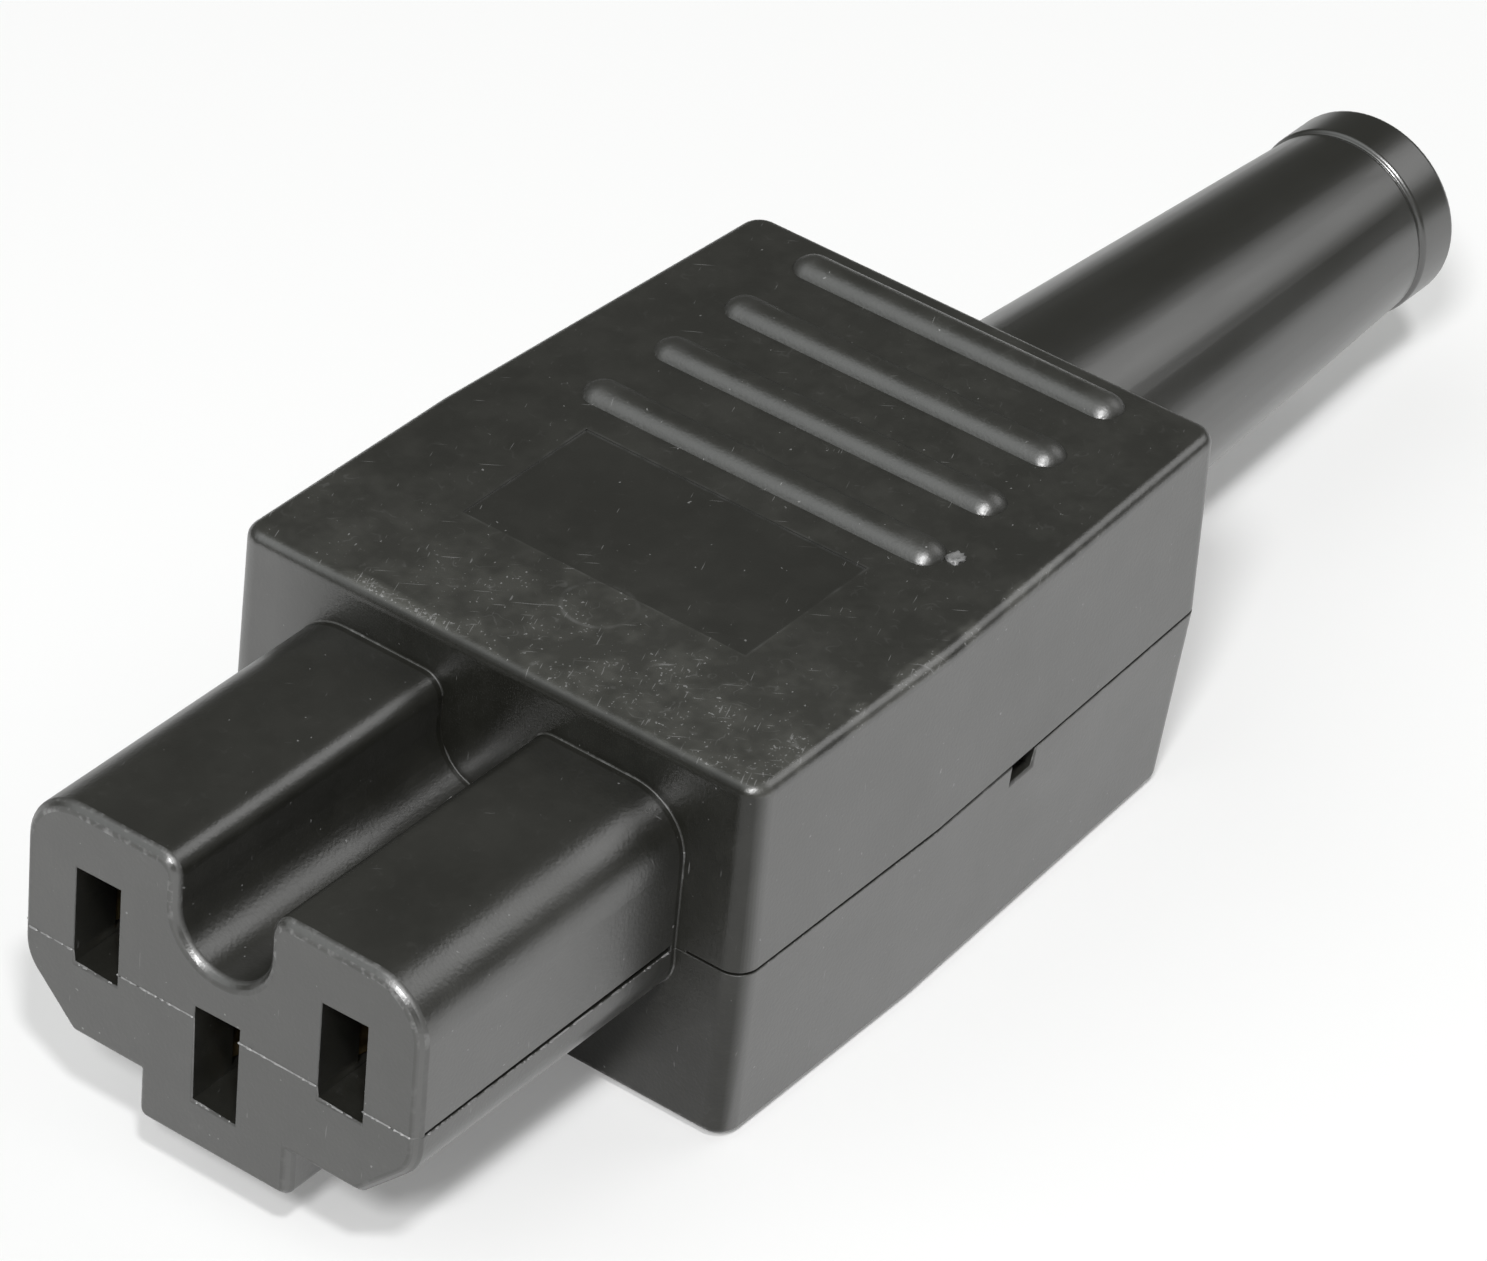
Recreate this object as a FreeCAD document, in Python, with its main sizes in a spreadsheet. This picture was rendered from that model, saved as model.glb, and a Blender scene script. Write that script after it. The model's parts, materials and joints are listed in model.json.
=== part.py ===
"""Rewirable appliance connector: two moulded half shells with a keyed nose, three spring contacts on
pillar terminals, a cord clamp and a soft cord sleeve.

The nose points along -X, the cord leaves along +X and the earth contact is on the lower side.
The origin is the middle of the flat underside. All lengths are in millimetres.
"""
import FreeCAD, Part
import math
import os
import Sketcher

SIZES = {
    # Body, split into two shells on one level plane
    "body_length": 38.3,
    "body_width": 30.1,
    "straight_length": 15.0,
    "rear_inset": 1.15,
    "upper_height": 10.3,
    "lower_height": 10.3,
    "upper_draft": 0.8,
    "lower_draft": 3.4,
    "corner_radius": 1.2,
    "top_edge_radius": 0.65,
    "base_bevel": 0.6,
    "wall": 2.0,
    # Rim that locates the shells on each other, and the notches that part them
    "lip_height": 0.9,
    "lip_clearance": 0.08,
    "lip_front": 4.0,
    "pry_place": 22.45,
    "pry_length": 1.9,
    "pry_height": 1.1,
    "pry_depth": 1.2,
    # Grip ribs and the inset panel on top
    "first_rib": 20.2,
    "rib_pitch": 5.2,
    "rib_margin": 4.4,
    "rib_width": 2.2,
    "rib_rise": 0.65,
    "panel_front": 8.1,
    "panel_length": 9.25,
    "panel_width": 16.3,
    "panel_depth": 0.08,
    # Nose
    "nose_length": 18.3,
    "nose_width": 22.6,
    "nose_rise": 7.9,
    "nose_corner_radius": 3.0,
    "nose_bevel": 0.35,
    "notch_lip_radius": 1.1,
    "notch_width": 5.2,
    "notch_floor": 2.85,
    "lobe_drop": 4.7,
    "lobe_chamfer": 3.0,
    "lobe_blend_radius": 2.4,
    "key_width": 8.8,
    "key_drop": 7.3,
    "key_radius": 0.6,
    "face_wall": 2.8,
    # Poles: line and neutral above the split, earth below it
    "pole_spread": 7.0,
    "pole_rise": 2.0,
    "slot_width": 2.55,
    "slot_height": 5.3,
    # Spring contacts
    "strip_thickness": 0.6,
    "contact_height": 4.4,
    "contact_setback": 0.3,
    "mouth_gap": 3.0,
    "grip_gap": 1.7,
    "root_gap": 2.4,
    "grip_place": 2.6,
    "leaf_length": 8.5,
    "bend_radius": 0.5,
    "pocket_clearance": 0.2,
    # Pillar terminals and their screws
    "terminal_length": 8.0,
    "terminal_width": 5.2,
    "terminal_height": 5.6,
    "terminal_clearance": 0.2,
    "terminal_bevel": 0.3,
    "wire_bore": 3.2,
    "wire_depth": 6.4,
    "tenon_size": 1.8,
    "tenon_stand": 0.4,
    "tenon_clearance": 0.05,
    "terminal_screw_place": 4.4,
    # Seats and partitions for the terminals
    "seat_margin": 0.25,
    "stop_height": 0.9,
    "stop_thickness": 1.2,
    "partition_thickness": 1.0,
    "partition_length": 10.4,
    # Screws and nuts
    "screw_diameter": 3.0,
    "thread_clearance": 0.05,
    "screw_passage": 3.4,
    "screw_head": 5.4,
    "screw_head_height": 1.9,
    "driver_slot_width": 0.8,
    "driver_slot_depth": 0.9,
    "housing_screw_place": 17.5,
    "housing_boss": 7.6,
    "head_recess": 5.9,
    "head_recess_depth": 3.0,
    "nut_size": 5.5,
    "nut_thickness": 2.0,
    "nut_level": 2.6,
    "nut_clearance": 0.1,
    "nut_wall": 1.2,
    "hole_overrun": 0.8,
    # Cord clamp
    "clamp_place": 26.8,
    "clamp_width": 5.6,
    "clamp_ear": 2.4,
    "clamp_reach": 2.9,
    "clamp_arch": 3.4,
    "clamp_arch_wall": 2.0,
    "clamp_corner": 1.2,
    "clamp_screw_spread": 7.6,
    "clamp_screw_grip": 5.5,
    "post_width": 5.8,
    "post_rise": 0.4,
    "saddle_width": 3.0,
    "saddle_drop": 1.2,
    # Cord sleeve and its seat in the rear of the shells
    "rear_wall": 2.4,
    "seat_rib": 1.8,
    "flange_size": 15.4,
    "flange_thickness": 1.6,
    "sleeve_clearance": 0.1,
    "sleeve_root": 13.8,
    "sleeve_tip": 10.3,
    "sleeve_length": 36.4,
    "band_length": 3.3,
    "band_rise": 0.15,
    "band_groove": 0.3,
    "band_bevel": 0.4,
    "cord_bore": 7.6,
}

# Places along X
FRONT = "(-Sizes.body_length / 2)"
REAR = "(Sizes.body_length / 2)"
KINK = f"({FRONT} + Sizes.straight_length)"
NOSE_FACE = f"({FRONT} - Sizes.nose_length)"
CAVITY_FRONT = f"({FRONT} + Sizes.wall)"
FLANGE_REAR = f"({REAR} - Sizes.rear_wall - Sizes.sleeve_clearance)"
FLANGE_FRONT = f"({FLANGE_REAR} - Sizes.flange_thickness)"
CAVITY_REAR = f"({FLANGE_FRONT} - Sizes.sleeve_clearance - Sizes.seat_rib)"
CONTACT_MOUTH = f"({NOSE_FACE} + Sizes.face_wall + Sizes.contact_setback)"
TERMINAL_FRONT = f"({CAVITY_FRONT} + Sizes.terminal_clearance)"
TERMINAL_REAR = f"({TERMINAL_FRONT} + Sizes.terminal_length)"
HOUSING_SCREW_X = f"({FRONT} + Sizes.housing_screw_place)"
CLAMP_X = f"({FRONT} + Sizes.clamp_place)"
CONTACT_LENGTH = f"({TERMINAL_FRONT} - {CONTACT_MOUTH})"

# Places along Y
HALF_WIDTH = "(Sizes.body_width / 2)"
SIDE_SLOPE = "(Sizes.rear_inset / (Sizes.body_length - Sizes.straight_length))"
REAR_HALF = f"({HALF_WIDTH} - Sizes.rear_inset)"
CAVITY_HALF = f"({HALF_WIDTH} - Sizes.wall)"
HOUSING_SCREW_Y = f"({CAVITY_HALF} - Sizes.housing_boss / 2)"

# Heights
SPLIT = "Sizes.lower_height"
TOP = "(Sizes.lower_height + Sizes.upper_height)"
FLOOR = "Sizes.wall"
NUT_SEAT = f"({SPLIT} + Sizes.nut_level)"
SCREW_TIP = f"({NUT_SEAT} + Sizes.nut_thickness)"
POST_TOP = f"({SPLIT} + Sizes.post_rise)"

# Pole name, place along Y, height over the split
POLES = (
    ("line", "Sizes.pole_spread", "Sizes.pole_rise"),
    ("neutral", "-Sizes.pole_spread", "Sizes.pole_rise"),
    ("earth", "0", "-Sizes.pole_rise"),
)
SIDES = (("left", "1"), ("right", "-1"))
RIB_COUNT = 4

NEAR = 1e-4      # two places closer than this are the same
OVERLAP = "0.5"  # how far an inner wall runs into the wall that carries it

doc = FreeCAD.newDocument("connector")
sheet = doc.addObject("Spreadsheet::Sheet", "Sizes")
for row, (name, size) in enumerate(SIZES.items(), start=1):
    sheet.set(f"A{row}", name)
    sheet.set(f"B{row}", str(size))
    sheet.setAlias(f"B{row}", name)
doc.recompute()


def value(expression):
    """The present number of an expression on the sheet."""
    return float(sheet.evalExpression(expression))


def half_width_at(x):
    """Half the body's width at the split, for a place behind the kink."""
    return f"({HALF_WIDTH} - ({x} - {KINK}) * {SIDE_SLOPE})"


def new_body(name):
    body = doc.addObject("PartDesign::Body", name)
    body.Label = name
    return body


def new_sketch(body, name, plane, offset="0", right="0", up="0"):
    """A sketch on one of the body's origin planes, moved along its normal and in its plane."""
    sketch = body.newObject("Sketcher::SketchObject", f"{body.Name}_{name}")
    support = next(item for item in body.Origin.OriginFeatures if item.Role == plane)
    sketch.AttachmentSupport = (support, [""])
    sketch.MapMode = "FlatFace"
    for axis, place in (("x", right), ("y", up), ("z", offset)):
        if place != "0":
            sketch.setExpression(f"AttachmentOffset.Base.{axis}", place)
    return sketch


def bind(sketch, kind, curve, end, place):
    """Hold one coordinate of a point at an expression."""
    if place == "0":
        axis = -2 if kind == "DistanceX" else -1
        sketch.addConstraint(Sketcher.Constraint("PointOnObject", curve, end, axis))
        return
    index = sketch.addConstraint(Sketcher.Constraint(kind, -1, 1, curve, end, value(place)))
    sketch.setExpression(f"Constraints[{index}]", place)


def outline(sketch, corners):
    """A closed outline. A corner is (x, y) before a straight run, or (x, y, centre x, centre y, turn)
    before an arc, with turn 1 for an arc that runs anticlockwise and -1 for one that runs clockwise."""
    first = sketch.GeometryCount
    count = len(corners)
    points = [FreeCAD.Vector(value(corner[0]), value(corner[1]), 0) for corner in corners]
    ends = []
    for index, corner in enumerate(corners):
        start, stop = points[index], points[(index + 1) % count]
        if len(corner) == 2:
            sketch.addGeometry(Part.LineSegment(start, stop))
            ends.append((1, 2))
            continue
        centre = FreeCAD.Vector(value(corner[2]), value(corner[3]), 0)
        circle = Part.Circle(centre, FreeCAD.Vector(0, 0, 1), start.distanceToPoint(centre))
        angles = [math.atan2(point.y - centre.y, point.x - centre.x) for point in (start, stop)]
        ends.append((1, 2) if corner[4] > 0 else (2, 1))
        sketch.addGeometry(Part.ArcOfCircle(circle, *angles[::corner[4]]))
    for index, corner in enumerate(corners):
        curve, following = first + index, first + (index + 1) % count
        sketch.addConstraint(Sketcher.Constraint(
            "Coincident", curve, ends[index][1], following, ends[(index + 1) % count][0]))
        bind(sketch, "DistanceX", curve, ends[index][0], corner[0])
        bind(sketch, "DistanceY", curve, ends[index][0], corner[1])
        if len(corner) > 2:
            chord = points[(index + 1) % count] - points[index]
            if abs(chord.x) > abs(chord.y):
                bind(sketch, "DistanceY", curve, 3, corner[3])
            else:
                bind(sketch, "DistanceX", curve, 3, corner[2])


def rectangle(sketch, left, right, low, high):
    outline(sketch, [(left, low), (right, low), (right, high), (left, high)])


def circle(sketch, x, y, diameter):
    centre = FreeCAD.Vector(value(x), value(y), 0)
    curve = sketch.addGeometry(Part.Circle(centre, FreeCAD.Vector(0, 0, 1), value(diameter) / 2))
    bind(sketch, "DistanceX", curve, 3, x)
    bind(sketch, "DistanceY", curve, 3, y)
    index = sketch.addConstraint(Sketcher.Constraint("Diameter", curve, value(diameter)))
    sketch.setExpression(f"Constraints[{index}]", diameter)


def solid_feature(body, kind, sketch, adds, settings, sizes):
    """A feature on a sketch, checked to have added or removed material."""
    doc.recompute()
    before = body.Shape.Volume if body.Tip else 0.0
    feature = body.newObject(f"PartDesign::{kind}", f"{sketch.Name}_{kind}")
    feature.Profile = sketch
    for name, setting in settings.items():
        setattr(feature, name, setting)
    for name, size in sizes.items():
        feature.setExpression(name, size)
    doc.recompute()
    if (feature.Shape.Volume - before) * (1 if adds else -1) < NEAR:
        raise RuntimeError(f"{feature.Name} changes nothing")
    return feature


def pad(body, sketch, length, backwards=False):
    return solid_feature(body, "Pad", sketch, True, {"Reversed": backwards}, {"Length": length})


def pocket(body, sketch, length, backwards=False):
    return solid_feature(body, "Pocket", sketch, False, {"Reversed": backwards}, {"Length": length})


def turn(body, sketch, axis):
    return solid_feature(body, "Revolution", sketch, True, {"ReferenceAxis": (sketch, [axis])}, {})


def turn_out(body, sketch, axis):
    return solid_feature(body, "Groove", sketch, False, {"ReferenceAxis": (sketch, [axis])}, {})


def edges_where(shape, test):
    return [f"Edge{index}" for index, edge in enumerate(shape.Edges, start=1) if test(edge)]


def middle(edge):
    first, last = edge.ParameterRange
    return edge.valueAt((first + last) / 2)


def runs_along(edge, axis):
    """Whether an edge is straight and within a few degrees of an axis."""
    if edge.Curve.TypeId != "Part::GeomLine":
        return False
    span = edge.Vertexes[-1].Point - edge.Vertexes[0].Point
    return abs(getattr(span, axis)) > 0.99 * span.Length


def lies_at(edge, axis, place):
    """Whether a whole edge lies at one coordinate."""
    points = [vertex.Point for vertex in edge.Vertexes] + [middle(edge)]
    return all(abs(getattr(point, axis) - place) < NEAR for point in points)


def soften_edges(body, name, test, radius, kind="Fillet"):
    """Round or bevel the edges of the body that pass a test."""
    base = body.Tip
    names = edges_where(base.Shape, test)
    if not names:
        raise RuntimeError(f"{body.Name}_{name} finds no edge")
    feature = body.newObject(f"PartDesign::{kind}", f"{body.Name}_{name}")
    feature.Base = (base, names)
    feature.setExpression("Radius" if kind == "Fillet" else "Size", radius)
    doc.recompute()
    return feature


def plan_outline(sketch):
    """The body's outline at the split: parallel sides in front, tapering behind the kink."""
    outline(sketch, [
        (FRONT, f"-{HALF_WIDTH}"),
        (KINK, f"-{HALF_WIDTH}"),
        (REAR, f"-{REAR_HALF}"),
        (REAR, REAR_HALF),
        (KINK, HALF_WIDTH),
        (FRONT, HALF_WIDTH),
    ])


def drafted_block(body, height, draft, downwards):
    """One half of the body, drafted away from the split, with rounded uprights."""
    plan = new_sketch(body, "plan", "XY_Plane", SPLIT)
    plan_outline(plan)
    block = pad(body, plan, height, downwards)
    split, end, wall = value(SPLIT), value(REAR), value("Sizes.wall")
    faces = list(enumerate(block.Shape.Faces, start=1))
    sides = [f"Face{index}" for index, face in faces if abs(face.normalAt(0, 0).z) < 0.5]
    neutral = [f"Face{index}" for index, face in faces if abs(face.CenterOfMass.z - split) < NEAR]
    taper = body.newObject("PartDesign::Draft", f"{body.Name}_draft")
    taper.Base = (block, sides)
    taper.NeutralPlane = (block, neutral)
    taper.Reversed = downwards
    taper.setExpression("Angle", draft)
    doc.recompute()
    soften_edges(body, "corners", lambda edge: runs_along(edge, "z") and abs(middle(edge).x) > end - wall,
                "Sizes.corner_radius")


def hollow(body, depth, upwards):
    """The room for the terminals, wires and clamp."""
    plan = new_sketch(body, "room", "XY_Plane", SPLIT)
    rear_half = f"({half_width_at(CAVITY_REAR)} - Sizes.wall)"
    outline(plan, [
        (CAVITY_FRONT, f"-{CAVITY_HALF}"),
        (KINK, f"-{CAVITY_HALF}"),
        (CAVITY_REAR, f"-{rear_half}"),
        (CAVITY_REAR, rear_half),
        (KINK, CAVITY_HALF),
        (CAVITY_FRONT, CAVITY_HALF),
    ])
    pocket(body, plan, depth, upwards)


def contact_ways(body):
    """The three contact pockets in the nose and the slots in its face. Both shells take the same cuts."""
    pockets = new_sketch(body, "pockets", "YZ_Plane", f"{CAVITY_FRONT} + {OVERLAP}")
    slots = new_sketch(body, "slots", "YZ_Plane", f"{CAVITY_FRONT} + {OVERLAP}")
    pocket_half = "(Sizes.mouth_gap / 2 + Sizes.strip_thickness + Sizes.pocket_clearance)"
    pocket_rise = "(Sizes.contact_height / 2 + Sizes.pocket_clearance)"
    for name, across, rise in POLES:
        level = f"({SPLIT} + {rise})"
        rectangle(pockets, f"{across} - {pocket_half}", f"{across} + {pocket_half}",
                  f"{level} - {pocket_rise}", f"{level} + {pocket_rise}")
        rectangle(slots, f"{across} - Sizes.slot_width / 2", f"{across} + Sizes.slot_width / 2",
                  f"{level} - Sizes.slot_height / 2", f"{level} + Sizes.slot_height / 2")
    pocket(body, pockets, f"Sizes.nose_length - Sizes.face_wall + Sizes.wall + {OVERLAP}")
    pocket(body, slots, f"Sizes.nose_length + Sizes.wall + 2 * {OVERLAP}")


def sleeve_seat(body):
    """The round way out for the sleeve, with the square groove that holds its flange."""
    profile = new_sketch(body, "seat", "XZ_Plane", up=SPLIT)
    way = "(Sizes.sleeve_root / 2 + Sizes.sleeve_clearance)"
    rectangle(profile, f"{CAVITY_REAR} - {OVERLAP}", f"{REAR} + {OVERLAP}", "0", way)
    turn_out(body, profile, "H_Axis")
    groove = new_sketch(body, "groove", "YZ_Plane", f"{FLANGE_REAR} + Sizes.sleeve_clearance", up=SPLIT)
    half = "(Sizes.flange_size / 2 + Sizes.sleeve_clearance)"
    rectangle(groove, f"-{half}", half, f"-{half}", half)
    pocket(body, groove, "Sizes.flange_thickness + 2 * Sizes.sleeve_clearance")


def partitions(body, height, downwards):
    """The two walls that part the earth terminal from its neighbours."""
    plan = new_sketch(body, "partitions", "XY_Plane", SPLIT)
    for name, side in SIDES:
        middle_line = f"{side} * Sizes.pole_spread / 2"
        rectangle(plan, f"{CAVITY_FRONT} - {OVERLAP}", f"{CAVITY_FRONT} + Sizes.partition_length",
                  f"{middle_line} - Sizes.partition_thickness / 2",
                  f"{middle_line} + Sizes.partition_thickness / 2")
    pad(body, plan, f"{height} - Sizes.wall + {OVERLAP}", downwards)


def lip_outline(sketch, clearance):
    """The inner half of each side wall, where the upper shell's lip enters the lower shell."""
    inner = f"({CAVITY_HALF} - {clearance})"
    outer = f"({HALF_WIDTH} - Sizes.wall / 2 + {clearance})"
    front = f"({FRONT} + Sizes.lip_front - {clearance})"
    rear = f"({CAVITY_REAR} - {OVERLAP} + {clearance})"
    fall = f"(({rear} - {KINK}) * {SIDE_SLOPE})"
    for name, side in SIDES:
        outline(sketch, [
            (front, f"{side} * {inner}"),
            (KINK, f"{side} * {inner}"),
            (rear, f"{side} * ({inner} - {fall})"),
            (rear, f"{side} * ({outer} - {fall})"),
            (KINK, f"{side} * {outer}"),
            (front, f"{side} * {outer}"),
        ])


def nose(body, profile_corners):
    """One half of the nose, rooted in the body's front wall."""
    profile = new_sketch(body, "nose", "YZ_Plane", CAVITY_FRONT, up=SPLIT)
    outline(profile, profile_corners)
    pad(body, profile, "Sizes.nose_length + Sizes.wall", True)


def bevel_nose_face(body):
    """Bevel the outline of the nose's front face, apart from the split."""
    face, split = value(NOSE_FACE), value(SPLIT)
    soften_edges(body, "face_edge", lambda edge: lies_at(edge, "x", face)
                and not lies_at(edge, "z", split), "Sizes.nose_bevel", "Chamfer")


def grip_rib(body, index):
    """A low rib across the top: a rod with round ends, sunk into the top face."""
    place = f"({FRONT} + Sizes.first_rib + {index} * Sizes.rib_pitch)"
    radius = "((Sizes.rib_width ^ 2 / 4 + Sizes.rib_rise ^ 2) / (2 * Sizes.rib_rise))"
    centre = f"({half_width_at(place)} - Sizes.rib_margin - Sizes.rib_width / 2)"
    profile = new_sketch(body, f"rib_{index}", "XY_Plane", f"{TOP} + Sizes.rib_rise - {radius}", place)
    outline(profile, [
        ("0", f"-{centre} - {radius}", "0", f"-{centre}", 1),
        (radius, f"-{centre}"),
        (radius, centre, "0", centre, 1),
        ("0", f"{centre} + {radius}"),
    ])
    turn(body, profile, "V_Axis")


def upper_shell():
    """The upper shell, with the notched half of the nose, the ribs and the nut bosses."""
    body = new_body("upper_shell")
    drafted_block(body, "Sizes.upper_height", "Sizes.upper_draft", False)
    top = value(TOP)
    soften_edges(body, "rim", lambda edge: lies_at(edge, "z", top), "Sizes.top_edge_radius")
    side, rise = "(Sizes.nose_width / 2)", "Sizes.nose_rise"
    bend, low = f"({side} - Sizes.nose_corner_radius)", f"({rise} - Sizes.nose_corner_radius)"
    notch, centre = "(Sizes.notch_width / 2)", "(Sizes.notch_floor + Sizes.notch_width / 2)"
    nose(body, [
        (f"-{side}", "0"),
        (side, "0"),
        (side, low, bend, low, 1),
        (bend, rise),
        (notch, rise),
        (notch, centre, "0", centre, -1),
        (f"-{notch}", centre),
        (f"-{notch}", rise),
        (f"-{bend}", rise, f"-{bend}", low, 1),
        (f"-{side}", low),
    ])
    lip, height = value(notch), value(f"{SPLIT} + {rise}")
    soften_edges(body, "notch_lips", lambda edge: runs_along(edge, "x")
                and abs(abs(middle(edge).y) - lip) < NEAR
                and abs(middle(edge).z - height) < NEAR, "Sizes.notch_lip_radius")
    bevel_nose_face(body)
    for index in range(RIB_COUNT):
        grip_rib(body, index)
    panel = new_sketch(body, "panel", "XY_Plane", TOP)
    rectangle(panel, f"{FRONT} + Sizes.panel_front", f"{FRONT} + Sizes.panel_front + Sizes.panel_length",
              "-Sizes.panel_width / 2", "Sizes.panel_width / 2")
    pocket(body, panel, "Sizes.panel_depth")

    hollow(body, "Sizes.upper_height - Sizes.wall", True)
    contact_ways(body)
    sleeve_seat(body)
    partitions(body, "Sizes.upper_height", False)
    lips = new_sketch(body, "lips", "XY_Plane", SPLIT)
    lip_outline(lips, "0")
    pad(body, lips, "Sizes.lip_height", True)

    bosses = new_sketch(body, "bosses", "XY_Plane", SPLIT)
    slots = new_sketch(body, "nut_slots", "XY_Plane", NUT_SEAT)
    holes = new_sketch(body, "screw_holes", "XY_Plane", SPLIT)
    boss_half = "(Sizes.nut_size / 2 + Sizes.nut_wall)"
    slot_half = "(Sizes.nut_size / 2 + Sizes.nut_clearance)"
    for name, side in SIDES:
        rectangle(bosses, f"{HOUSING_SCREW_X} - {boss_half}", f"{HOUSING_SCREW_X} + {boss_half}",
                  f"{side} * ({HOUSING_SCREW_Y} - Sizes.nut_size / 2)",
                  f"{side} * ({CAVITY_HALF} + {OVERLAP})")
        rectangle(slots, f"{HOUSING_SCREW_X} - {slot_half}", f"{HOUSING_SCREW_X} + {slot_half}",
                  f"{side} * ({HOUSING_SCREW_Y} - Sizes.nut_size / 2 - {OVERLAP})",
                  f"{side} * ({HOUSING_SCREW_Y} + {slot_half})")
        circle(holes, HOUSING_SCREW_X, f"{side} * {HOUSING_SCREW_Y}", "Sizes.screw_passage")
    pad(body, bosses, f"Sizes.upper_height - Sizes.wall + {OVERLAP}")
    pocket(body, slots, "Sizes.nut_thickness + Sizes.nut_clearance", True)
    pocket(body, holes, "Sizes.nut_level", True)
    return body


def lower_shell():
    """The lower shell, with the keyed half of the nose, the terminal seats, clamp posts and screw bosses."""
    body = new_body("lower_shell")
    drafted_block(body, "Sizes.lower_height", "Sizes.lower_draft", True)
    soften_edges(body, "rim", lambda edge: lies_at(edge, "z", 0.0), "Sizes.base_bevel", "Chamfer")
    side, lobe, key = "(Sizes.nose_width / 2)", "Sizes.lobe_drop", "(Sizes.key_width / 2)"
    flank, foot = f"({lobe} - Sizes.lobe_chamfer)", f"({side} - Sizes.lobe_chamfer)"
    nose(body, [
        (f"-{side}", "0"),
        (f"-{side}", f"-{flank}"),
        (f"-{foot}", f"-{lobe}"),
        (f"-{key}", f"-{lobe}"),
        (f"-{key}", "-Sizes.key_drop"),
        (key, "-Sizes.key_drop"),
        (key, f"-{lobe}"),
        (foot, f"-{lobe}"),
        (side, f"-{flank}"),
        (side, "0"),
    ])

    def nose_edge(across, drop):
        place, level = value(across), value(f"{SPLIT} - {drop}")
        return lambda edge: (runs_along(edge, "x") and abs(abs(middle(edge).y) - place) < NEAR
                             and abs(middle(edge).z - level) < NEAR)

    soften_edges(body, "lobe_blend", nose_edge(side, flank), "Sizes.lobe_blend_radius")
    soften_edges(body, "lobe_foot", nose_edge(foot, lobe), "Sizes.key_radius")
    soften_edges(body, "key_foot", nose_edge(key, "Sizes.key_drop"), "Sizes.key_radius")
    bevel_nose_face(body)

    hollow(body, "Sizes.lower_height - Sizes.wall", False)
    contact_ways(body)
    sleeve_seat(body)
    partitions(body, "Sizes.lower_height", True)
    terminal_seats(body)
    screw_bosses(body)
    clamp_posts(body)
    rim_cuts(body)
    return body


def rim_cuts(body):
    """The step in the rim that takes the upper shell's lip, and a pry notch on each side."""
    lips = new_sketch(body, "lips", "XY_Plane", SPLIT)
    lip_outline(lips, "Sizes.lip_clearance")
    pocket(body, lips, "Sizes.lip_height + Sizes.lip_clearance")
    pry = new_sketch(body, "pry", "XY_Plane", SPLIT)
    pry_middle = f"({FRONT} + Sizes.pry_place)"
    for name, side in SIDES:
        rectangle(pry, f"{pry_middle} - Sizes.pry_length / 2", f"{pry_middle} + Sizes.pry_length / 2",
                  f"{side} * ({half_width_at(pry_middle)} - Sizes.pry_depth)",
                  f"{side} * ({HALF_WIDTH} + {OVERLAP})")
    pocket(body, pry, "Sizes.pry_height")


def terminal_seats(body):
    """A block under each terminal, with a low stop behind it."""
    half = "(Sizes.terminal_width / 2 + Sizes.seat_margin)"
    stop_front = f"({TERMINAL_REAR} + Sizes.terminal_clearance)"
    for name, across, rise in POLES:
        level = f"({SPLIT} + {rise} - Sizes.terminal_height / 2)"
        seat = new_sketch(body, f"{name}_seat", "XY_Plane", level)
        rectangle(seat, f"{CAVITY_FRONT} - {OVERLAP}", f"{stop_front} + Sizes.stop_thickness",
                  f"{across} - {half}", f"{across} + {half}")
        pad(body, seat, f"{level} - {FLOOR} + {OVERLAP}", True)
        stop = new_sketch(body, f"{name}_stop", "XY_Plane", level)
        rectangle(stop, stop_front, f"{stop_front} + Sizes.stop_thickness",
                  f"{across} - {half}", f"{across} + {half}")
        pad(body, stop, "Sizes.stop_height")


def screw_bosses(body):
    """A square boss round each housing screw, with a recess for its head in the underside."""
    bosses = new_sketch(body, "bosses", "XY_Plane", SPLIT)
    holes = new_sketch(body, "screw_holes", "XY_Plane")
    recesses = new_sketch(body, "head_recesses", "XY_Plane")
    half = "Sizes.housing_boss / 2"
    for name, side in SIDES:
        across = f"{side} * {HOUSING_SCREW_Y}"
        rectangle(bosses, f"{HOUSING_SCREW_X} - {half}", f"{HOUSING_SCREW_X} + {half}",
                  f"{side} * ({HOUSING_SCREW_Y} - {half})", f"{side} * ({CAVITY_HALF} + {OVERLAP})")
        circle(holes, HOUSING_SCREW_X, across, "Sizes.screw_passage")
        circle(recesses, HOUSING_SCREW_X, across, "Sizes.head_recess")
    pad(body, bosses, f"{SPLIT} - {FLOOR} + {OVERLAP}", True)
    pocket(body, holes, SPLIT, True)
    pocket(body, recesses, "Sizes.head_recess_depth", True)


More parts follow.
